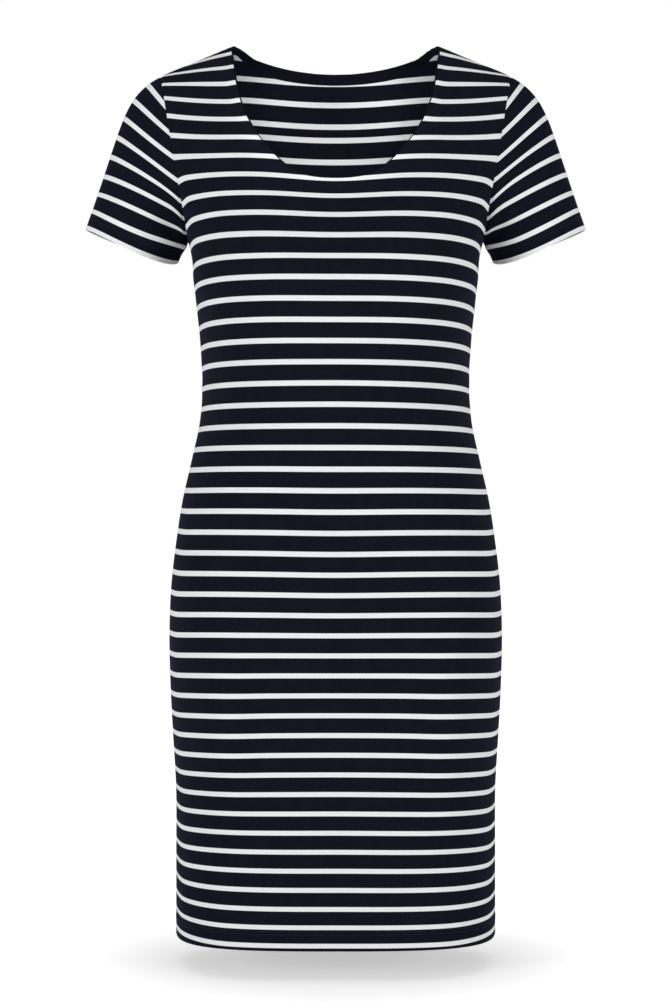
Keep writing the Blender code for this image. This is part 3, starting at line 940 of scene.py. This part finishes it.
class Sleeve:
    """A sleeve's surface, in the wearer's left place: curves from the armhole to the cuff, a
    column for each. mirror picks the stripes of the right one."""

    def __init__(self, mirror):
        self.mirror = mirror
        self.start, self.outward, self.share = armhole_loop()
        self.front = np.arange(len(self.share)) <= ARMHOLE_FACETS
        self.end = cuff_loop(self.share, self.front)
        round_it = np.roll(self.start, -1, axis=0) - np.roll(self.start, 1, axis=0)
        onward = unit(np.cross(round_it, self.outward))
        blend = smooth(self.share)[:, None]
        self.leave = unit(sleeve_axis() * (1 - blend) + onward * blend)
        self.start = self.start + unit(self.leave + self.outward) * SEAM_GAP
        self.fine = np.linspace(0, 1, CURVE_STEPS)
        steps = np.linalg.norm(np.diff(self.at(self.fine[:, None]), axis=0), axis=-1)
        run = np.concatenate([np.zeros((1, steps.shape[1])), np.cumsum(steps, axis=0)])
        self.from_cuff = run[-1] - run
        self.long = run[-1]
        self.hem = np.minimum(HEM, HEM_MOST * self.long)

    def at(self, t):
        t = np.broadcast_to(t, (len(t), len(self.share)))[..., None]
        long = np.linalg.norm(self.end - self.start, axis=1, keepdims=True)
        leave = t * (1 - t) ** 2 * long * SHOULDER_FULLNESS * self.leave
        arrive = t * t * (1 - t) * long * CUFF_FALL * sleeve_axis()
        return smooth(1 - t) * self.start + leave + smooth(t) * self.end - arrive

    def rows(self, away):
        """Points, outward directions and uv at these distances from the cuff, a row for each."""
        columns = zip(away.T, self.from_cuff.T)
        t = np.stack([np.interp(a, f[::-1], self.fine[::-1]) for a, f in columns], axis=1)
        points = self.at(t)
        near_seam = bell(self.long - away, SEAM_WIDTH)[..., None]
        normals = unit(grid_normals(points) * (1 - near_seam) + self.outward * near_seam)
        outline = self.at(self.fine[:, None])[:, ARMHOLE_FACETS]
        stripe = sleeve_stripe(points, outline, self.front, self.mirror)
        round_it = np.where(self.front, self.share, 2 - self.share) * SLEEVE_GIRTH / 2
        return points, normals, np.stack([round_it + 0 * stripe, stripe * REPEAT], axis=-1)


def sleeve_shell(name, mirror, material):
    sleeve = Sleeve(mirror)
    hem = sleeve.hem / HEM
    first = sleeve.long - np.array(ARMHOLE_DISTANCES)[:, None] * hem
    start, end = sleeve.long - SLEEVE_FIRST * hem, (HEM + HEM_STEP) * hem
    even = start + (end - start) * np.linspace(0, 1, SLEEVE_FACETS)[:, None]
    last = np.array(EDGE_DISTANCES[::-1])[:, None] * hem
    away = np.concatenate([first, even, last])
    points, normals, uv = sleeve.rows(away)
    tree = seam_tree([armhole_seam(FRONT), armhole_seam(BACK)])
    front = crease_height(points, SLEEVE_CREASES[mirror, FRONT])
    back = crease_height(points, SLEEVE_CREASES[mirror, BACK])
    proud = seam_dip(points, tree) + np.where(sleeve.front, front, back)
    outer, inner = hemmed(points, normals, proud, away / hem)
    flip = MIRROR if mirror else 1
    return shell(name, [(outer * flip, inner * flip, uv)], material, closed=True)


# ---------------------------------------------------------------- materials


class Nodes:
    """A short way to write the nodes of a material or the world."""

    def __init__(self, owner, shader="Principled BSDF"):
        owner.use_nodes = True
        self.owner = owner
        self.tree = owner.node_tree
        self.shader = self.tree.nodes[shader]

    def add(self, kind, **values):
        node = self.tree.nodes.new(kind)
        for key, value in values.items():
            setattr(node, key, value)
        return node

    def join(self, source, target):
        self.tree.links.new(source, target)

    def math(self, operation, *inputs):
        node = self.add("ShaderNodeMath", operation=operation)
        for i, value in enumerate(inputs):
            if isinstance(value, (int, float)):
                node.inputs[i].default_value = value
            else:
                self.join(value, node.inputs[i])
        return node.outputs[0]

    def noise(self, scale, detail):
        node = self.add("ShaderNodeTexNoise")
        node.inputs["Scale"].default_value = scale
        node.inputs["Detail"].default_value = detail
        return node.outputs[0]

    def between(self, value, start, end, low=0.0, high=1.0):
        """low up to the start, high from the end, and smooth between."""
        node = self.add("ShaderNodeMapRange", interpolation_type="SMOOTHSTEP")
        self.join(value, node.inputs[0])
        for i, limit in enumerate((start, end, low, high), start=1):
            node.inputs[i].default_value = limit
        return node.outputs[0]

    def set_shader(self, **values):
        """Sets sockets of the shader, named with _ for each space."""
        for key, value in values.items():
            self.shader.inputs[key.replace("_", " ")].default_value = value

    def mix(self, share, first, second):
        """The first colour at a share of 0, and the second at 1."""
        node = self.add("ShaderNodeMix", data_type="RGBA")
        for slot, value in ((0, share), (6, first), (7, second)):
            if isinstance(value, (int, float, tuple)):
                node.inputs[slot].default_value = value
            else:
                self.join(value, node.inputs[slot])
        return node.outputs[2]


FUZZ_SCALE, UNEVEN_SCALE, TWIST_SCALE = 900.0, 38.0, 1500.0
LOOP_HEIGHT, GROOVE_POWER = 0.35, 4.0  # a loop's round, and how narrow the groove beside it is
# The last of these paints the knit's loops lighter on their tops and darker in the grooves between
# them: painted shade of their relief. The first two are random tone.
FUZZ_SHADE, UNEVEN_SHADE, KNIT_PAINTED_SHADE = 0.5, 0.3, 0.10
FUZZ_HEIGHT = 0.6
BUMP_STRENGTH, BUMP_DEPTH = 0.35, 0.00012


def tinted(colour, factor):
    return tuple(part * factor for part in colour[:3]) + (1.0,)


def jersey(name, dark, striped):
    """Fine jersey: stripes, knit loops painted lighter on top and darker in their grooves as
    painted shade, faint unevenness and a soft sheen.
    """
    n = Nodes(bpy.data.materials.new(name))
    place = n.add("ShaderNodeUVMap", uv_map="cloth")
    parts = n.add("ShaderNodeSeparateXYZ")
    n.join(place.outputs[0], parts.inputs[0])
    across, along = parts.outputs[0], parts.outputs[1]
    wale = n.math("FRACT", n.math("DIVIDE", across, WALE))
    leg = n.math("ABSOLUTE", n.math("SUBTRACT", n.math("MULTIPLY", wale, 2.0), 1.0))
    course = n.math("ADD", n.math("DIVIDE", along, COURSE), n.math("MULTIPLY", leg, LOOP_SLANT))
    loop = n.math("SINE", n.math("MULTIPLY", course, 2 * math.pi))
    groove = n.math("POWER", leg, GROOVE_POWER)
    height = n.math("SUBTRACT", n.math("MULTIPLY", loop, LOOP_HEIGHT), groove)
    fuzz = n.noise(FUZZ_SCALE, detail=3.0)
    uneven = n.math("MULTIPLY", n.noise(UNEVEN_SCALE, detail=2.0), UNEVEN_SHADE)
    tone_and_painted_shade = n.math("ADD", n.math("MULTIPLY", fuzz, FUZZ_SHADE), uneven)
    # painted shade: the loops' tops lighter and the grooves between them darker
    tone_and_painted_shade = n.math("ADD", tone_and_painted_shade, n.math("MULTIPLY", height, KNIT_PAINTED_SHADE))
    colour = n.mix(tone_and_painted_shade, tinted(dark, NAVY_DARKEST), tinted(dark, NAVY_LIGHTEST))
    if striped:
        stripe = n.math("ADD", n.math("DIVIDE", along, REPEAT), 0.5 + STRIPES_ABOVE)
        from_middle = n.math("ABSOLUTE", n.math("SUBTRACT", n.math("FRACT", stripe), 0.5))
        edge = n.math("ADD", from_middle, n.math("MULTIPLY", loop, STRIPE_TOOTH))
        half = WHITE_SHARE / 2
        white = n.between(edge, half + STRIPE_BLUR, half - STRIPE_BLUR)
        pale = n.mix(tone_and_painted_shade, tinted(WHITE, WHITE_DARKEST), tinted(WHITE, WHITE_LIGHTEST))
        colour = n.mix(white, colour, pale)
    n.join(colour, n.shader.inputs["Base Color"])
    bump = n.add("ShaderNodeBump")
    bump.inputs["Strength"].default_value = BUMP_STRENGTH
    bump.inputs["Distance"].default_value = BUMP_DEPTH
    rough = n.math("ADD", height, n.math("MULTIPLY", fuzz, FUZZ_HEIGHT))
    n.join(rough, bump.inputs["Height"])
    n.join(bump.outputs[0], n.shader.inputs["Normal"])
    n.set_shader(Roughness=0.9, Specular_IOR_Level=0.04)
    n.set_shader(Sheen_Tint=SHEEN_BLUE, Sheen_Weight=0.02, Sheen_Roughness=0.5)
    return n.owner


def thread_material():
    n = Nodes(bpy.data.materials.new("navy_thread"))
    colour = n.mix(n.noise(TWIST_SCALE, detail=2.0), THREAD_DARK, THREAD_LIGHT)
    n.join(colour, n.shader.inputs["Base Color"])
    n.set_shader(Roughness=0.6, Specular_IOR_Level=0.2)
    return n.owner


# ---------------------------------------------------------------- stitches

STITCH, STITCH_GAP, THREAD = 0.0026, 0.0006, 0.00026
STITCH_SIDES = 6
# The rings of a stitch: how far along it each is, and its radius and lift in threads.
STITCH_RINGS = ((0.0, 0.15, -0.2), (0.18, 0.9, 0.3), (0.82, 0.9, 0.3), (1.0, 0.15, -0.2))
HEM_STITCH_ROWS = (0.0163, 0.0193)  # up from the edge: a twin needle's two rows
CUFF_STITCH_ROWS = (0.0118, 0.0148)


def stitch_line(points, normals):
    """Vertices and faces of short threads end to end along a line of surface points."""
    run = lengths(points)
    count = int(run[-1] / (STITCH + STITCH_GAP))
    vertices, faces = [], []
    for i in range(count):
        middle = (i + 0.5) * run[-1] / count
        base = len(vertices)
        for share, size, lift in STITCH_RINGS:
            at = middle + (share - 0.5) * STITCH
            here, onward = interpolated(np.array((at, at + TINY)), run, points)
            out = interpolated(at, run, normals)
            across = np.cross(unit(onward - here), out)
            for angle in np.arange(STITCH_SIDES) * 2 * math.pi / STITCH_SIDES:
                ring = across * math.cos(angle) + out * math.sin(angle)
                vertices.append(here + out * THREAD * lift + ring * THREAD * size)
        corners = np.arange(base, len(vertices)).reshape(-1, STITCH_SIDES).tolist()
        for near, far in zip(corners, corners[1:]):
            for c in range(STITCH_SIDES):
                after = (c + 1) % STITCH_SIDES
                faces.append((near[c], near[after], far[after], far[c]))
        faces.append(tuple(corners[0][::-1]))
        faces.append(tuple(corners[-1]))
    return vertices, faces


def stitches(name, lines, material):
    vertices, faces = [], []
    for points, normals in lines:
        more, more_faces = stitch_line(points, normals)
        faces += [tuple(v + len(vertices) for v in face) for face in more_faces]
        vertices += more
    data = bpy.data.meshes.new(name)
    data.from_pydata([tuple(v) for v in vertices], [], faces)
    return finished(name, data, material)


def hem_stitches(material):
    lines = []
    turns = np.linspace(-SIDE_TURN, SIDE_TURN, CURVE_STEPS)
    for side in (FRONT, BACK):
        for up in HEM_STITCH_ROWS:
            z = np.full(len(turns), HEM_Z + up)
            lines.append((body_point(turns, z, side), body_normal(turns, z, side)))
    return stitches("hem_stitches", lines, material)


def cuff_stitches(name, mirror, material):
    lines = []
    flip = MIRROR if mirror else 1
    sleeve = Sleeve(mirror)
    for up in CUFF_STITCH_ROWS:
        away = np.array((up + HEM_STEP, up, up - HEM_STEP))[:, None] * sleeve.hem / HEM
        points, normals, _ = sleeve.rows(away)
        points = np.concatenate([points[1], points[1, :1]]) * flip
        normals = np.concatenate([normals[1], normals[1, :1]]) * flip
        lines.append((points, normals))
    return stitches(name, lines, material)


# ---------------------------------------------------------------- studio

VIEW_DISTANCE = 2.6
VIEW_HEIGHT = 1.03824  # seen at the origin's distance
VIEW_X, VIEW_Z = 0.0003, -0.4707
SENSOR = 36.0
FLOOR_DROP, FLOOR_SIZE = 0.03, 60.0
FLOOR_NEAR, FLOOR_FAR = 0.950, 1.01  # from the origin: near it the floor glows less, a painted shadow that deepens its real shadow
GLOW_IN_PAINTED_SHADOW, GLOW_FAR = 0.46, 0.86
WORLD_LIGHT, WORLD_SEEN = 0.28, 1.0
MIDDLE = (0, 0, -0.45)
Lamp = namedtuple("Lamp", "name kind place aim size watts")
LAMPS = (  # the neck's lights up the inside of the back
    Lamp("key", "AREA", (-2.2, -2.1, -0.30), MIDDLE, 1.2, 42.5),
    Lamp("fill", "AREA", (2.3, -2.0, -0.40), MIDDLE, 1.2, 38.5),
    Lamp("neck", "SPOT", (0.0, -3.0, -0.12), (-0.004, 0.08, -0.055), 0.03, 285.0),
    Lamp("top", "AREA", (0.0, 0.0, 2.0), MIDDLE, 3.0, 14.0),
)
SPOT_ANGLE, SPOT_BLEND = math.radians(3.9), 0.6


def make_camera():
    data = bpy.data.cameras.new("camera")
    data.sensor_fit = "VERTICAL"
    data.sensor_height = SENSOR
    data.lens = SENSOR * VIEW_DISTANCE / VIEW_HEIGHT
    camera = linked("camera", data)
    camera.location = (VIEW_X, -VIEW_DISTANCE, VIEW_Z)
    camera.rotation_euler = (math.pi / 2, 0, 0)
    bpy.context.scene.camera = camera


def seen_rays(n):
    """1 for the rays that show a background: from the camera, or by gloss or through glass."""
    path = n.add("ShaderNodeLightPath")
    total = n.math("ADD", path.outputs["Is Camera Ray"], path.outputs["Is Glossy Ray"])
    return n.math("MINIMUM", n.math("ADD", total, path.outputs["Is Transmission Ray"]), 1.0)


def make_floor():
    """A white floor that keeps the shadow, and glows to the background's white far from it. Its
    glow is weaker near the dress: painted shadow that deepens the real one there.
    """
    n = Nodes(bpy.data.materials.new("floor_white"))
    n.set_shader(Base_Color=(0.9, 0.9, 0.9, 1.0), Roughness=1.0, Specular_IOR_Level=0.0)
    n.set_shader(Emission_Color=PURE_WHITE)
    place = n.add("ShaderNodeNewGeometry")
    away = n.add("ShaderNodeVectorMath", operation="LENGTH")
    n.join(place.outputs["Position"], away.inputs[0])
    # weaker glow near the dress: painted shadow around its real shadow
    glow = n.between(away.outputs["Value"], FLOOR_NEAR, FLOOR_FAR, GLOW_IN_PAINTED_SHADOW, GLOW_FAR)
    n.join(n.math("MULTIPLY", seen_rays(n), glow), n.shader.inputs["Emission Strength"])
    data = bpy.data.meshes.new("floor")
    ends = (-FLOOR_SIZE, FLOOR_SIZE)
    corners = [(x, y, HEM_Z - FLOOR_DROP) for y in ends for x in ends]
    data.from_pydata(corners, [], [(0, 1, 3, 2)])
    data.materials.append(n.owner)
    linked("floor", data)


def make_world():
    world = bpy.data.worlds.new("studio")
    bpy.context.scene.world = world
    n = Nodes(world, shader="Background")
    n.set_shader(Color=PURE_WHITE)
    path = n.add("ShaderNodeLightPath")
    through = path.outputs["Is Transmission Ray"]
    seen = n.math("MAXIMUM", path.outputs["Is Camera Ray"], through)
    strength = n.between(seen, 0.0, 1.0, WORLD_LIGHT, WORLD_SEEN)
    n.join(strength, n.shader.inputs["Strength"])


def make_lamp(lamp):
    data = bpy.data.lights.new(lamp.name, lamp.kind)
    data.energy = lamp.watts
    if lamp.kind == "SPOT":
        data.shadow_soft_size = lamp.size
        data.spot_size = SPOT_ANGLE
        data.spot_blend = SPOT_BLEND
    else:
        data.shape = "DISK"
        data.size = lamp.size
    made = linked(lamp.name, data)
    made.location = lamp.place
    towards = Vector(lamp.aim) - Vector(lamp.place)
    made.rotation_euler = towards.to_track_quat("-Z", "Y").to_euler()


def make_studio():
    make_world()
    make_floor()
    for lamp in LAMPS:
        make_lamp(lamp)
    bpy.context.scene.view_settings.view_transform = "Standard"


# ---------------------------------------------------------------- the dress


def dress(piece, slot, *nodes):
    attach(piece, "root")
    if nodes:
        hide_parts(*nodes)


def main():
    make_camera()
    striped = jersey("striped_jersey_cloth", NAVY, striped=True)
    plain = jersey("navy_jersey_cloth", NAVY_BINDING, striped=False)
    thread = thread_material()
    front = body_shell("front_jersey", FRONT, striped)
    back = body_shell("back_jersey", BACK, striped)
    left = sleeve_shell("sleeve_left_jersey", False, striped)
    right = sleeve_shell("sleeve_right_jersey", True, striped)
    facing = make_facing(striped)
    band = make_band(plain)
    hem = hem_stitches(thread)
    cuff_left = cuff_stitches("cuff_stitches_left", False, thread)
    cuff_right = cuff_stitches("cuff_stitches_right", True, thread)
    dress(front, "striped_jersey", "front")
    dress(back, "striped_jersey", "back")
    dress(left, "striped_jersey", "sleeve_left")
    dress(right, "striped_jersey", "sleeve_right")
    dress(facing, "striped_jersey", "back_neck_facing")
    dress(band, "navy_jersey", "neckband")
    for piece in (hem, cuff_left, cuff_right):
        dress(piece, "navy_jersey")
    make_studio()


main()
